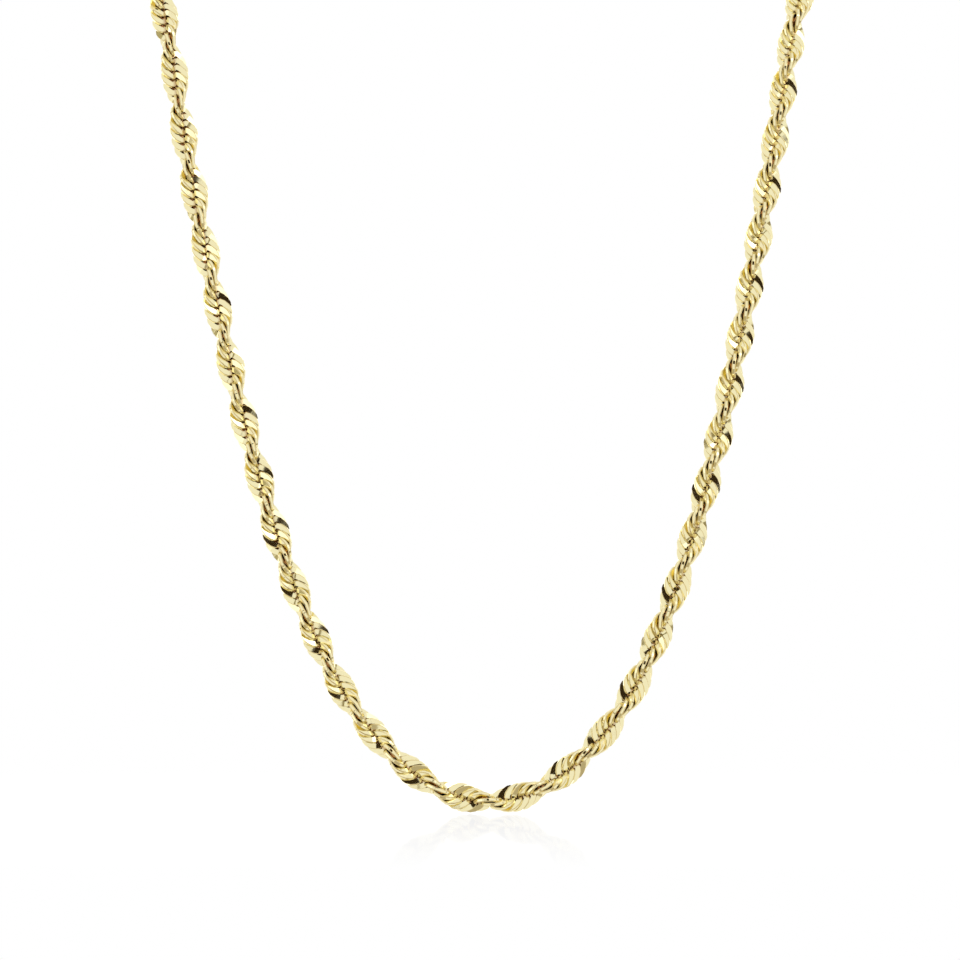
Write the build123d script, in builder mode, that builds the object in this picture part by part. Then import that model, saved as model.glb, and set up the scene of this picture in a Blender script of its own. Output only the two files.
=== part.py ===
"""A gold rope chain necklace, 508 mm (20 in) round, as it hangs on a neck.

The chain is some 950 small gold rings, wound into two strands that twist round each other
like a rope, 4 mm across at its swellings. Here its whole length is one tube of that width.
Its two ends are soldered into the cups of a plain barrel clasp at the nape.

The frame is in millimetres: X to the wearer's left, Y to the back, Z up. The origin is where
the clasp's barrel rests on the nape, and the front of the loop hangs down and forward of it.
"""
from build123d import *
import math
import os

rope_width = 4.0  # across a swelling of the rope

clasp_length = 14.0
barrel_radius = 2.75  # at the swell of the barrel, on each side of the seam
seam_half_width = 0.3  # the seam where the two halves of the barrel meet
seam_depth = 0.25
swell_bow = 0.08  # how far the barrel's side bows out between the seam and the bead
collar_radius = 2.45  # the barrel's ends, beside the beads
bead_radius = 2.75  # raised bead at the root of each cup
bead_width = 0.7
cup_radius = 2.55  # outside of a cup
cup_depth = 2.5
cup_clearance = 0.15  # round the rope, and at its end: filled with solder on the real chain
lip_round = 0.15

nape_y = barrel_radius  # the barrel's axis, one radius behind the skin
rope_end_x = clasp_length / 2 - cup_depth + cup_clearance

# The rope's route from the clasp's left cup, down the left side, round the front and back up.
# The front follows the hang of the chain, and the rest goes plainly round the neck.
route = [
    (-rope_end_x, nape_y, 0.0),
    (-21.0, nape_y, 0.0),
    (-40.0, -3.5, -4.0),
    (-50.6, -18.5, -11.0),
    (-52.8, -37.5, -21.0),
    (-49.8, -54.0, -33.8),
    (-45.7, -65.6, -47.5),
    (-42.1, -75.1, -70.2),
    (-37.3, -83.2, -93.2),
    (-32.3, -89.0, -113.5),
    (-26.0, -93.1, -133.3),
    (-17.7, -95.4, -150.2),
    (-5.8, -96.0, -161.4),
    (7.1, -96.0, -162.1),
    (19.5, -95.5, -151.3),
    (27.6, -93.2, -133.6),
    (33.4, -89.0, -113.7),
    (37.9, -83.2, -93.1),
    (42.1, -75.2, -70.3),
    (46.0, -65.5, -47.3),
    (49.8, -54.0, -33.8),
    (52.8, -37.5, -21.0),
    (50.6, -18.5, -11.0),
    (40.0, -3.5, -4.0),
    (21.0, nape_y, 0.0),
    (rope_end_x, nape_y, 0.0),
]
arc_share = 0.45  # of the shorter of two runs, taken up by the arc between them


def arc_radii(points):
    """The largest tangent arc for each corner of the route."""
    radii = []
    for before, corner, after in zip(points, points[1:], points[2:]):
        first_run = Vector(*corner) - Vector(*before)
        second_run = Vector(*after) - Vector(*corner)
        half_turn = math.radians(first_run.get_angle(second_run)) / 2
        shorter = min(first_run.length, second_run.length)
        radii.append(arc_share * shorter / math.tan(half_turn))
    return radii


def write(part, name):
    part.label = name
    export_step(part, f"parts/{name}.step")


os.makedirs("parts", exist_ok=True)

# Rope chain
radii = arc_radii(route)
with BuildPart() as rope_chain:
    with BuildLine():
        rope_line = FilletPolyline(*route, radius=radii)
    with BuildSketch(Plane(origin=rope_line @ 0, z_dir=rope_line % 0)):
        Circle(rope_width / 2)
    sweep(path=rope_line)
rope_length = rope_line.length
section = math.pi * rope_width**2 / 4
print("arc radii", [round(r, 1) for r in radii])
print("rope length", round(rope_length, 1))
print("volume over section times length", round(rope_chain.part.volume / (section * rope_length), 4))
print("loop, clasp included", round(rope_length + 2 * rope_end_x, 1))

# Barrel clasp: one turned piece, round the X axis, with a cup at each end
barrel_end = clasp_length / 2 - cup_depth - bead_width  # where the swell meets the bead
seam_radius = barrel_radius - seam_depth
swell_middle = (
    (seam_half_width + barrel_end) / 2,
    (barrel_radius + collar_radius) / 2 + swell_bow,
)
clasp_axis = Axis((0, nape_y, 0), (1, 0, 0))
with BuildPart() as clasp:
    with BuildSketch(Plane(origin=(0, nape_y, 0), x_dir=(1, 0, 0), z_dir=(0, 0, 1))) as profile:
        with BuildLine():
            seam = Polyline((0, 0), (0, seam_radius), (seam_half_width, barrel_radius))
            swell = ThreePointArc(seam @ 1, swell_middle, (barrel_end, collar_radius))
            bead_mid = (barrel_end + bead_width / 2, bead_radius)
            bead_foot = (barrel_end + bead_width, collar_radius)
            bead = ThreePointArc(swell @ 1, bead_mid, bead_foot)
            Polyline(
                bead @ 1,
                (bead_foot[0], cup_radius),
                (clasp_length / 2, cup_radius),
                (clasp_length / 2, 0),
                (0, 0),
            )
        make_face()
    revolve(axis=clasp_axis)
    mirror(about=Plane.YZ)
    for side in (-1, 1):
        mouth = Plane(origin=(side * clasp_length / 2, nape_y, 0), z_dir=(side, 0, 0))
        with Locations(mouth):
            Hole(rope_width / 2 + cup_clearance, depth=cup_depth)
    lips = clasp.edges().filter_by(GeomType.CIRCLE).filter_by(
        lambda edge: abs(abs(edge.center().X) - clasp_length / 2) < 1e-6
    )
    fillet(lips, lip_round)

write(rope_chain.part, "rope_chain")
write(clasp.part, "clasp")
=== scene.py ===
"""A gold rope chain necklace with a barrel clasp, hung as it is worn and lit on white."""
import bmesh
import bpy
import math
import mathutils
import numpy as np
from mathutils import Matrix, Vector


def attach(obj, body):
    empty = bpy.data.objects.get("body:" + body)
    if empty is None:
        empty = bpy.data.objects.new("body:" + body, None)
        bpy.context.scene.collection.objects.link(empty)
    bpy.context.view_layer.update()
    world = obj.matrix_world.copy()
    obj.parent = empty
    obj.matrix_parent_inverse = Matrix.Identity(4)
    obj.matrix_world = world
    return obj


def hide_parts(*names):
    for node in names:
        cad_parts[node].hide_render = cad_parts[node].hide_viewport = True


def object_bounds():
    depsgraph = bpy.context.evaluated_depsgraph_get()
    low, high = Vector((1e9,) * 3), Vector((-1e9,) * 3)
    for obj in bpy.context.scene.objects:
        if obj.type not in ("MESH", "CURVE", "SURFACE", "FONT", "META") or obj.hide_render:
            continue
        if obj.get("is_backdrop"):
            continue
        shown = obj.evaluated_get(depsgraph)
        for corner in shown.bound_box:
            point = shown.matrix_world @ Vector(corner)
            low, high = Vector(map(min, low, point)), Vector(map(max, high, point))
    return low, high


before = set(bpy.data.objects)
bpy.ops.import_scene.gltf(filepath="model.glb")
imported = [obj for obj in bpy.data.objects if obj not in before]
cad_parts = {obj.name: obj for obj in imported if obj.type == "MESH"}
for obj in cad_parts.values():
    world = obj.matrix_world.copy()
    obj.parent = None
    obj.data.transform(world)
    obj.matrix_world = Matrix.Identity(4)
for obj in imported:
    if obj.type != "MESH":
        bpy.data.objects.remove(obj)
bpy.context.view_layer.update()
scene = bpy.context.scene


# Camera
# It stands a metre and a half off, level, and looks along Y at the hanging front of the loop.
# Seven pixels of the picture's 960 stand for a millimetre at the depth of the lower front.
picture_width_px = 960
pixels_per_metre = 7000
front_depth = -0.088
camera_distance = 1.5
camera_height = -0.11615
sensor_width_mm = 36.0
camera_data = bpy.data.cameras.new("camera")
camera_data.sensor_width = sensor_width_mm
camera_data.lens = sensor_width_mm * camera_distance * pixels_per_metre / picture_width_px
camera = bpy.data.objects.new("camera", camera_data)
camera.location = (0.0, front_depth - camera_distance, camera_height)
camera.rotation_euler = (math.radians(90), 0.0, 0.0)
scene.collection.objects.link(camera)
scene.camera = camera


# Line of the rope
# The chain runs from the clasp's one cup round the neck to the other. It hangs by its own
# weight: nearly straight down the sides and in a tight bend at the lowest point.
barrel_radius = 0.00275
rope_end_x = 0.00465
straight_end_x = 0.021
route_mm = [
    (-40.0, -3.5, -4.0),
    (-50.6, -18.5, -11.0),
    (-52.8, -37.5, -21.0),
    (-49.8, -54.0, -33.8),
    (-45.7, -65.6, -47.5),
    (-42.1, -75.1, -70.2),
    (-37.3, -83.2, -93.2),
    (-32.3, -89.0, -113.5),
    (-26.0, -93.1, -133.3),
    (-17.7, -95.4, -150.2),
    (-5.8, -96.0, -161.4),
    (7.1, -96.0, -162.1),
    (19.5, -95.5, -151.3),
    (27.6, -93.2, -133.6),
    (33.4, -89.0, -113.7),
    (37.9, -83.2, -93.1),
    (42.1, -75.2, -70.3),
    (46.0, -65.5, -47.3),
    (49.8, -54.0, -33.8),
    (52.8, -37.5, -21.0),
    (50.6, -18.5, -11.0),
    (40.0, -3.5, -4.0),
]
route = [(-rope_end_x, barrel_radius, 0.0), (-straight_end_x, barrel_radius, 0.0)]
route += [(x / 1000, y / 1000, z / 1000) for x, y, z in route_mm]
route += [(straight_end_x, barrel_radius, 0.0), (rope_end_x, barrel_radius, 0.0)]
rope_line = bpy.data.curves.new("rope_line", "CURVE")
rope_line.dimensions = "3D"
rope_line.resolution_u = 24
spline = rope_line.splines.new("NURBS")
spline.points.add(len(route) - 1)
for point, place in zip(spline.points, route):
    point.co = (*place, 1.0)
spline.order_u = 3
spline.use_endpoint_u = True


# Gold of the rings
# Yellow gold of a light, slightly green kind. The cut faces are bright as mirrors. The bevels between
# them and the ring's inside are left as rougher drawn wire, darkened as painted shade for the rope's
# gaps, and the ends that dip into the rope get a brown painted shade.
def gold(name, tone, warm_tone, roughness, painted_shade=None):
    """Polished gold: cloudy tone, fine wear in the polish, and painted shade where the part's attribute
    says it lies.
    """
    material = bpy.data.materials.new(name)
    material.use_nodes = True
    nodes, links = material.node_tree.nodes, material.node_tree.links
    surface = nodes["Principled BSDF"]
    surface.inputs["Metallic"].default_value = 1.0
    place = nodes.new("ShaderNodeTexCoord").outputs["Object"]

    clouds = nodes.new("ShaderNodeTexNoise")
    clouds.inputs["Scale"].default_value = 420.0
    clouds.inputs["Detail"].default_value = 2.0
    links.new(place, clouds.inputs["Vector"])
    tones = nodes.new("ShaderNodeMix")
    tones.data_type = "RGBA"
    tones.inputs["A"].default_value = (*tone, 1.0)
    tones.inputs["B"].default_value = (*warm_tone, 1.0)
    links.new(clouds.outputs["Fac"], tones.inputs["Factor"])
    colour = tones.outputs["Result"]
    # A brown painted shade, mixed in by the part's attribute, darkens the ring ends that lie deep in the
    # rope.
    if painted_shade:
        painted_shade_mask = nodes.new("ShaderNodeAttribute")
        painted_shade_mask.attribute_name = "painted_shade"
        shade_mixed = nodes.new("ShaderNodeMix")
        shade_mixed.data_type = "RGBA"
        shade_mixed.inputs["B"].default_value = (*painted_shade, 1.0)
        links.new(painted_shade_mask.outputs["Fac"], shade_mixed.inputs["Factor"])
        links.new(colour, shade_mixed.inputs["A"])
        colour = shade_mixed.outputs["Result"]
    links.new(colour, surface.inputs["Base Color"])

    wear = nodes.new("ShaderNodeTexNoise")
    wear.inputs["Scale"].default_value = 2600.0
    wear.inputs["Detail"].default_value = 4.0
    links.new(place, wear.inputs["Vector"])
    polish = nodes.new("ShaderNodeMapRange")
    polish.inputs["To Min"].default_value = roughness * 0.6
    polish.inputs["To Max"].default_value = roughness * 1.5
    links.new(wear.outputs["Fac"], polish.inputs["Value"])
    links.new(polish.outputs["Result"], surface.inputs["Roughness"])
    ripple = nodes.new("ShaderNodeBump")
    ripple.inputs["Strength"].default_value = 0.12
    ripple.inputs["Distance"].default_value = 0.00001
    links.new(wear.outputs["Fac"], ripple.inputs["Height"])
    links.new(ripple.outputs["Normal"], surface.inputs["Normal"])
    return material


# Brown painted shade for the ring ends deep in the rope, where the dark seam runs.
painted_shade_brown = (0.42, 0.20, 0.075)
cut_gold = gold("cut_gold", (0.92, 0.855, 0.53), (0.91, 0.81, 0.47), 0.07, painted_shade_brown)
# A copy of the gold for the bevels and the ring's inside. Its rougher finish is real, and its darker
# colour is painted shade for the gaps between rings.
shaded_wire_gold = gold("shaded_wire_gold", (0.72, 0.60, 0.31), (0.68, 0.53, 0.24), 0.30, painted_shade_brown)


# Ring
# An upright oval of gold wire, a little pointed at its top and foot. It is cut flat on both
# faces and along its rim, with a narrow bevel between, and is thinner on its hidden side.
mm = 0.001
ring_half_width = 1.414 * mm
ring_half_height = 1.786 * mm
ring_roundness = 1.5
ring_offset = 0.386 * mm
ring_lean = math.radians(85)
ring_steps = 16
rim_reach = 0.293 * mm
inside_reach = 0.498 * mm
bevel_reach = 0.205 * mm
wire_half_thickness = 0.271 * mm
rim_share = 0.5
inside_share = 0.95
hidden_share = 0.38
hidden_edge, visible_edge = -0.143 * mm, 0.714 * mm
# The brown painted shade is full at the rope's middle line and gone 0.314 mm out from it.
painted_shade_full, painted_shade_gone = 0.0 * mm, 0.314 * mm
rope_radius = 1.993 * mm
wire_section = [
    (rim_reach, -rim_share),
    (rim_reach, rim_share),
    (bevel_reach, 1.0),
    (-inside_reach, inside_share),
    (-inside_reach, -inside_share),
    (bevel_reach, -1.0),
]
cut_sides = (0, 2, 4)


def ring_line(turn):
    """Points of the ring's middle line: X out of the rope, Z along it."""
    out = np.sign(np.cos(turn)) * abs(np.cos(turn)) ** (2 / ring_roundness)
    up = np.sign(np.sin(turn)) * abs(np.sin(turn)) ** (2 / ring_roundness)
    return np.stack([
        ring_offset + ring_half_width * out,
        -ring_half_height * up * math.cos(ring_lean),
        ring_half_height * up * math.sin(ring_lean),
    ], -1)


def make_ring():
    turns = 2 * math.pi * (np.arange(ring_steps) + 0.5) / ring_steps
    middle = ring_line(turns)
    nearby = 0.0001
    along = ring_line(turns + nearby) - ring_line(turns - nearby)
    along /= np.linalg.norm(along, axis=1)[:, None]
    sideways = np.cross(middle - np.array([ring_offset, 0.0, 0.0]), along)
    sideways /= np.linalg.norm(sideways, axis=1)[:, None]
    outward = np.cross(along, sideways)
    corners = []
    for centre, out, side in zip(middle, outward, sideways):
        for reach, share in wire_section:
            corner = centre + out * reach
            shown = (corner[0] - hidden_edge) / (visible_edge - hidden_edge)
            shown = min(1.0, max(0.0, shown))
            thickness = hidden_share + (1 - hidden_share) * shown * shown * (3 - 2 * shown)
            corners.append(corner + side * share * wire_half_thickness * thickness)
    corners = np.array(corners)
    from_middle = np.hypot(corners[:, 0], corners[:, 1])
    shaved = from_middle > rope_radius
    corners[shaved, :2] *= (rope_radius / from_middle[shaved])[:, None]

    sides = len(wire_section)
    faces = []
    for step in range(ring_steps):
        here, there = step * sides, (step + 1) % ring_steps * sides
        for side in range(sides):
            beside = (side + 1) % sides
            faces.append((here + side, here + beside, there + beside, there + side))
    mesh = bpy.data.meshes.new("ring")
    mesh.from_pydata([tuple(corner) for corner in corners], [], faces)
    mesh.update()
    mesh.shade_smooth()
    lengthwise = [edge.vertices[0] % sides == edge.vertices[1] % sides for edge in mesh.edges]
    # Painted shade: the ring is darkened where it lies near and past the rope's middle line.
    painted_shade = np.clip((painted_shade_gone - corners[:, 0]) / (painted_shade_gone - painted_shade_full), 0.0, 1.0)
    mesh.attributes.new("cut", "BOOLEAN", "FACE").data.foreach_set(
        "value", [number % sides in cut_sides for number in range(len(faces))])
    mesh.attributes.new("painted_shade", "FLOAT", "POINT").data.foreach_set("value", painted_shade)
    mesh.attributes.new("sharp_edge", "BOOLEAN", "EDGE").data.foreach_set("value", lengthwise)
    mesh.materials.append(shaded_wire_gold)
    return bpy.data.objects.new("ring", mesh)


# Rope
# Some 950 rings, each passed through the ones before it and turned a little further, wind into
# two strands that twist round each other like a right-handed rope. Its ends are soldered into
# the clasp. The rings stand a little further apart up one side, as in a chain that has stretched.
ring_count = 952
rings_per_half_turn = 16
first_ring_turn = math.radians(103.4)
ring_wobble = math.radians(3.0)
wobble_seed = 3
# Each row is a place along the rope, from 0 to 1, and the rings' spacing there.
ring_spacing = [
    (0.0, 1.0),
    (0.2, 1.0),
    (0.3, 0.889),
    (0.4, 0.81),
    (0.5, 0.794),
    (0.6, 0.772),
    (0.75, 0.797),
    (1.0, 0.797),
]


def rope_winding():
    """Node tree that sets out one strand's rings along the rope's line."""
    tree = bpy.data.node_groups.new("rope_winding", "GeometryNodeTree")
    sockets = tree.interface
    sockets.new_socket(name="Geometry", in_out="OUTPUT", socket_type="NodeSocketGeometry")
    for label, kind in [
        ("Rope line", "Geometry"),
        ("Ring", "Object"),
        ("Rings", "Int"),
        ("Strand", "Int"),
        ("First turn", "Float"),
        ("Turn per ring", "Float"),
        ("Wobble", "Float"),
        ("Seed", "Int"),
        ("Wire gold", "Material"),
        ("Cut gold", "Material"),
    ]:
        sockets.new_socket(name=label, in_out="INPUT", socket_type=f"NodeSocket{kind}")

    def add(kind, joined={}, fixed={}, **settings):
        node = tree.nodes.new(kind)
        for key, value in settings.items():
            setattr(node, key, value)
        for key, value in fixed.items():
            node.inputs[key].default_value = value
        for key, source in joined.items():
            tree.links.new(source, node.inputs[key])
        return node

    def work_out(operation, joined, fixed={}):
        return add("ShaderNodeMath", joined, fixed, operation=operation).outputs[0]

    given = add("NodeGroupInput").outputs
    number = add("GeometryNodeInputIndex").outputs[0]

    last = work_out("SUBTRACT", {0: given["Rings"]}, {1: 1.0})
    share = work_out("DIVIDE", {0: number, 1: last})
    spacing = add("ShaderNodeFloatCurve", {"Value": share})
    steps = spacing.mapping.curves[0].points
    for row in ring_spacing[1:-1]:
        steps.new(*row)
    steps[0].location = ring_spacing[0]
    steps[len(steps) - 1].location = ring_spacing[-1]
    for step in steps:
        step.handle_type = "VECTOR"
    spacing.mapping.update()
    sums = add("GeometryNodeAccumulateField", {"Value": spacing.outputs[0]}, data_type="FLOAT").outputs
    along_rope = work_out("DIVIDE", {0: sums["Trailing"], 1: sums["Total"]})
    on_line = add("GeometryNodeSampleCurve",
                  {"Curves": given["Rope line"], "Factor": along_rope}, mode="FACTOR")
    counted = add("GeometryNodePoints", {"Count": given["Rings"]})
    places = add("GeometryNodeSetPosition",
                 {"Geometry": counted.outputs[0], "Position": on_line.outputs["Position"]})
    kept = add("GeometryNodeStoreNamedAttribute",
               {"Geometry": places.outputs[0], "Value": on_line.outputs["Tangent"]},
               {"Name": "way"}, data_type="FLOAT_VECTOR", domain="POINT")
    way = add("GeometryNodeInputNamedAttribute", {}, {"Name": "way"}, data_type="FLOAT_VECTOR").outputs[0]

    facing = add("FunctionNodeAxesToRotation", {"Primary Axis": way},
                 {"Secondary Axis": (0.0, -1.0, 0.0)}, primary_axis="Z", secondary_axis="X")
    strand = work_out("MODULO", {0: number}, {1: 2.0})
    turn = work_out("MULTIPLY_ADD", {0: number, 1: given["Turn per ring"], 2: given["First turn"]})
    turn = work_out("MULTIPLY_ADD", {0: strand, 2: turn}, {1: math.pi})
    turned = add("FunctionNodeAxisAngleToRotation", {"Angle": turn}, {"Axis": (0.0, 0.0, 1.0)})
    least = work_out("MULTIPLY", {0: given["Wobble"]}, {1: -1.0})
    lowest = add("ShaderNodeCombineXYZ", {0: least, 1: least, 2: least})
    highest = add("ShaderNodeCombineXYZ", {axis: given["Wobble"] for axis in range(3)})
    wobble = add("FunctionNodeRandomValue",
                 {0: lowest.outputs[0], 1: highest.outputs[0], "Seed": given["Seed"]},
                 data_type="FLOAT_VECTOR")
    wobbled = add("FunctionNodeEulerToRotation", {0: wobble.outputs[0]})
    set_up = add("FunctionNodeRotateRotation",
                 {0: facing.outputs[0], 1: turned.outputs[0]}, rotation_space="LOCAL")
    set_up = add("FunctionNodeRotateRotation",
                 {0: set_up.outputs[0], 1: wobbled.outputs[0]}, rotation_space="LOCAL")

    own = add("FunctionNodeCompare", {0: strand, 1: given["Strand"]}, {"Epsilon": 0.1},
              data_type="FLOAT", operation="EQUAL")
    ring_shape = add("GeometryNodeObjectInfo", {"Object": given["Ring"]})
    rings = add("GeometryNodeInstanceOnPoints", {
        "Points": kept.outputs[0],
        "Selection": own.outputs[0],
        "Instance": ring_shape.outputs["Geometry"],
        "Rotation": set_up.outputs[0],
    })
    real = add("GeometryNodeRealizeInstances", {"Geometry": rings.outputs[0]})
    # Every face first gets the darker gold of painted shade, and then the cut faces get the bright gold.
    wire_shaded = add("GeometryNodeSetMaterial",
                {"Geometry": real.outputs[0], "Material": given["Wire gold"]})
    cut = add("GeometryNodeInputNamedAttribute", {}, {"Name": "cut"}, data_type="BOOLEAN")
    shone = add("GeometryNodeSetMaterial", {
        "Geometry": wire_shaded.outputs[0],
        "Selection": cut.outputs[0],
        "Material": given["Cut gold"],
    })
    add("NodeGroupOutput", {0: shone.outputs[0]})
    return tree


ring = make_ring()
winding = rope_winding()
winding_inputs = [item for item in winding.interface.items_tree if item.in_out == "INPUT"]
socket_of = {item.name: item.identifier for item in winding_inputs}
for strand in (0, 1):
    guide = bpy.data.objects.new("guide", rope_line)
    scene.collection.objects.link(guide)
    wound = guide.modifiers.new("winding", "NODES")
    wound.node_group = winding
    wound[socket_of["Ring"]] = ring
    wound[socket_of["Rings"]] = ring_count
    wound[socket_of["Strand"]] = strand
    wound[socket_of["First turn"]] = first_ring_turn
    wound[socket_of["Turn per ring"]] = math.pi / rings_per_half_turn
    wound[socket_of["Wobble"]] = ring_wobble
    wound[socket_of["Seed"]] = wobble_seed
    wound[socket_of["Wire gold"]] = shaded_wire_gold
    wound[socket_of["Cut gold"]] = cut_gold
    evaluated = guide.evaluated_get(bpy.context.evaluated_depsgraph_get())
    wound_rings = bpy.data.meshes.new_from_object(evaluated)
    rope_strand = bpy.data.objects.new(f"rope_strand_{strand + 1}", wound_rings)
    scene.collection.objects.link(rope_strand)
    bpy.data.objects.remove(guide)
    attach(rope_strand, "root")
    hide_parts("rope_chain")


# Clasp
# A barrel turned from one rod of the same gold, with a raised bead and a cup at each end for
# the rope. Its polish still shows the finest rings of the lathe.
clasp_gold = gold("clasp_gold", (0.90, 0.80, 0.46), (0.88, 0.74, 0.38), 0.12)
lathe_pitch = 0.00008
waves_per_scale = 20 / (2 * math.pi)
clasp_nodes, clasp_links = clasp_gold.node_tree.nodes, clasp_gold.node_tree.links
lathe_lines = clasp_nodes.new("ShaderNodeTexWave")
lathe_lines.bands_direction = "X"
lathe_lines.inputs["Scale"].default_value = 1 / (lathe_pitch * waves_per_scale)
lathe_lines.inputs["Distortion"].default_value = 0.0
clasp_links.new(clasp_nodes["Texture Coordinate"].outputs["Object"], lathe_lines.inputs["Vector"])
turned_finish = clasp_nodes.new("ShaderNodeBump")
turned_finish.inputs["Strength"].default_value = 0.10
turned_finish.inputs["Distance"].default_value = 0.000004
clasp_links.new(lathe_lines.outputs["Fac"], turned_finish.inputs["Height"])
clasp_links.new(clasp_nodes["Bump"].outputs["Normal"], turned_finish.inputs["Normal"])
clasp_links.new(turned_finish.outputs["Normal"], clasp_nodes["Principled BSDF"].inputs["Normal"])
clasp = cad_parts["clasp"]
clasp.data.materials.clear()
clasp.data.materials.append(clasp_gold)


# Solder
# Gold solder run into each cup round the rope's end, which holds the chain to the clasp. It has
# drawn up the cup's wall a little, so its face is slightly hollow.
solder_gold = gold("solder_gold", (0.88, 0.79, 0.48), (0.80, 0.68, 0.36), 0.24)
cup_bottom_x, cup_mouth_x = 0.0045, 0.0070
cup_inside_radius = 0.00215
solder_gap = 0.00001
solder_dish = 0.0004
solder_steps = 32
solder_rows = 6


def run_solder(name, side):
    """A round plug of solder, its face hollowed like a dish and set below the cup's mouth."""
    radius = cup_inside_radius - solder_gap
    edge_x = cup_mouth_x - solder_dish
    profile = [(cup_bottom_x + solder_gap, radius)]
    for row in range(solder_rows):
        share = 1 - row / solder_rows
        profile.append((edge_x - solder_dish * (1 - share * share), radius * share))
    shape = bmesh.new()
    turns = [2 * math.pi * step / solder_steps for step in range(solder_steps)]
    hoops = []
    for x, reach in profile:
        hoops.append([
            shape.verts.new((side * x, barrel_radius + reach * math.cos(turn), reach * math.sin(turn)))
            for turn in turns
        ])
    back = shape.verts.new((side * profile[0][0], barrel_radius, 0.0))
    face = shape.verts.new((side * (edge_x - solder_dish), barrel_radius, 0.0))
    for step in range(solder_steps):
        beside = (step + 1) % solder_steps
        shape.faces.new((back, hoops[0][step], hoops[0][beside]))
        shape.faces.new((face, hoops[-1][step], hoops[-1][beside]))
        for outer, inner in zip(hoops, hoops[1:]):
            shape.faces.new((outer[step], outer[beside], inner[beside], inner[step]))
    bmesh.ops.recalc_face_normals(shape, faces=shape.faces)
    mesh = bpy.data.meshes.new(name)
    shape.to_mesh(mesh)
    shape.free()
    mesh.shade_smooth()
    mesh.materials.append(solder_gold)
    solder = bpy.data.objects.new(name, mesh)
    scene.collection.objects.link(solder)
    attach(solder, "root")


run_solder("solder_left_end", 1)
run_solder("solder_right_end", -1)


# Studio
# A white tent round the necklace, with bright boxes at both sides and behind. A dark card over
# the lens and dim strips and a shade round it draw the dark bands in the cut faces.
scene.view_settings.view_transform = "Standard"
tent = bpy.data.worlds.new("tent")
tent.use_nodes = True
tent_nodes, tent_links = tent.node_tree.nodes, tent.node_tree.links
tent_cloth = tent_nodes["Background"]
tent_cloth.inputs["Color"].default_value = (1.0, 1.0, 1.0, 1.0)
tent_cloth.inputs["Strength"].default_value = 0.97
backdrop = tent_nodes.new("ShaderNodeBackground")
backdrop.inputs["Color"].default_value = (1.0, 1.0, 1.0, 1.0)
seen = tent_nodes.new("ShaderNodeLightPath")
tent_or_backdrop = tent_nodes.new("ShaderNodeMixShader")
tent_links.new(seen.outputs["Is Camera Ray"], tent_or_backdrop.inputs[0])
tent_links.new(tent_cloth.outputs[0], tent_or_backdrop.inputs[1])
tent_links.new(backdrop.outputs[0], tent_or_backdrop.inputs[2])
tent_links.new(tent_or_backdrop.outputs[0], tent_nodes["World Output"].inputs[0])
scene.world = tent
necklace_front = mathutils.Vector((0.0, front_depth, -0.09))


def glowing(name, glow):
    material = bpy.data.materials.new(name)
    material.use_nodes = True
    nodes = material.node_tree.nodes
    nodes.clear()
    light = nodes.new("ShaderNodeEmission")
    light.inputs["Color"].default_value = (*glow, 1.0)
    material.node_tree.links.new(light.outputs[0], nodes.new("ShaderNodeOutputMaterial").inputs[0])
    return material


def hang_card(name, right, up, away, width, height, glow):
    """A card that faces the necklace, seen only in reflections. Right and up are in degrees."""
    mesh = bpy.data.meshes.new(name)
    half_w, half_h = width / 2, height / 2
    corners = [(-half_w, -half_h, 0), (half_w, -half_h, 0), (half_w, half_h, 0), (-half_w, half_h, 0)]
    mesh.from_pydata(corners, [], [(0, 1, 2, 3)])
    mesh.materials.append(glowing(name, glow))
    card = bpy.data.objects.new(name, mesh)
    right, up = math.radians(right), math.radians(up)
    level = math.cos(up)
    direction = mathutils.Vector((math.sin(right) * level, -math.cos(right) * level, math.sin(up)))
    card.location = necklace_front + away * direction
    card.rotation_mode = "QUATERNION"
    card.rotation_quaternion = (-direction).to_track_quat("Z", "Y")
    card.visible_camera = False
    card.visible_shadow = False
    scene.collection.objects.link(card)
    card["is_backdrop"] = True


hang_card("box_right", 50, 34, 1.2, 0.75, 0.6, (1.5, 1.5, 1.5))
hang_card("box_left", -78, 4, 1.2, 1.2, 0.75, (1.35, 1.35, 1.35))
hang_card("box_hot", 40, 42, 1.1, 0.36, 0.36, (2.8, 2.8, 2.8))
hang_card("box_back", 180, 0, 1.3, 3.0, 1.8, (2.0, 2.0, 2.0))
hang_card("flag_middle", 0, 21, 1.0, 0.44, 0.56, (0.035, 0.022, 0.010))
hang_card("strip_left", -27, 10, 1.0, 0.07, 1.2, (0.30, 0.25, 0.14))
hang_card("strip_right", 72, 0, 1.0, 0.08, 1.2, (0.30, 0.25, 0.14))
hang_card("strip_far_left", -100, 0, 1.0, 0.10, 1.2, (0.45, 0.40, 0.25))
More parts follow.
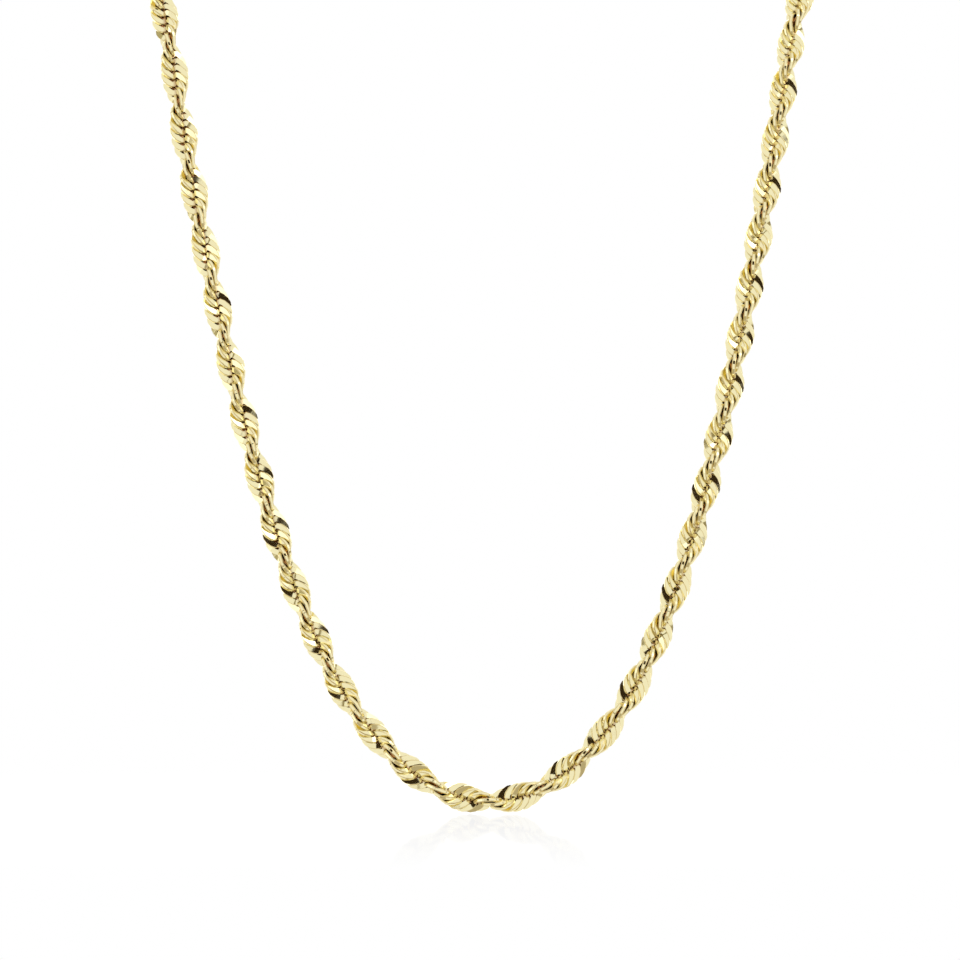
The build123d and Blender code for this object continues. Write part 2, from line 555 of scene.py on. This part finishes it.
hang_card("shade_low", 0, -48, 1.2, 1.6, 0.7, (0.50, 0.44, 0.33))

# The floor is a sheet of white acrylic just under the lowest ring. It mirrors the chain faintly
# there, and further out it has no shine left.
floor_gap = 0.0001
floor_half_width = 2.0
floor_shine = 0.15
shine_reach = 0.21
floor_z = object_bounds()[0][2] - floor_gap
lowest_ring = (0.0, -0.096, floor_z)
floor_mesh = bpy.data.meshes.new("floor")
floor_mesh.from_pydata([
    (-floor_half_width, -floor_half_width, floor_z),
    (floor_half_width, -floor_half_width, floor_z),
    (floor_half_width, floor_half_width, floor_z),
    (-floor_half_width, floor_half_width, floor_z),
], [], [(0, 1, 2, 3)])
acrylic = glowing("acrylic", (1.0, 1.0, 1.0))
acrylic_nodes, acrylic_links = acrylic.node_tree.nodes, acrylic.node_tree.links
shine = acrylic_nodes.new("ShaderNodeBsdfGlossy")
shine.inputs["Color"].default_value = (1.0, 1.0, 1.0, 1.0)
shine.inputs["Roughness"].default_value = 0.03
sheet = acrylic_nodes.new("ShaderNodeMixShader")
away = acrylic_nodes.new("ShaderNodeVectorMath")
away.operation = "DISTANCE"
away.inputs[1].default_value = lowest_ring
on_floor = acrylic_nodes.new("ShaderNodeTexCoord").outputs["Object"]
acrylic_links.new(on_floor, away.inputs[0])
fading = acrylic_nodes.new("ShaderNodeMapRange")
fading.inputs["From Max"].default_value = shine_reach
fading.inputs["To Min"].default_value = floor_shine
fading.inputs["To Max"].default_value = 0.0
acrylic_links.new(away.outputs["Value"], fading.inputs["Value"])
acrylic_links.new(fading.outputs["Result"], sheet.inputs[0])
acrylic_links.new(acrylic_nodes["Emission"].outputs[0], sheet.inputs[1])
acrylic_links.new(shine.outputs[0], sheet.inputs[2])
acrylic_links.new(sheet.outputs[0], acrylic_nodes["Material Output"].inputs[0])
floor_mesh.materials.append(acrylic)
floor = bpy.data.objects.new("floor", floor_mesh)
floor.visible_glossy = False
floor.visible_diffuse = False
scene.collection.objects.link(floor)
floor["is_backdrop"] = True
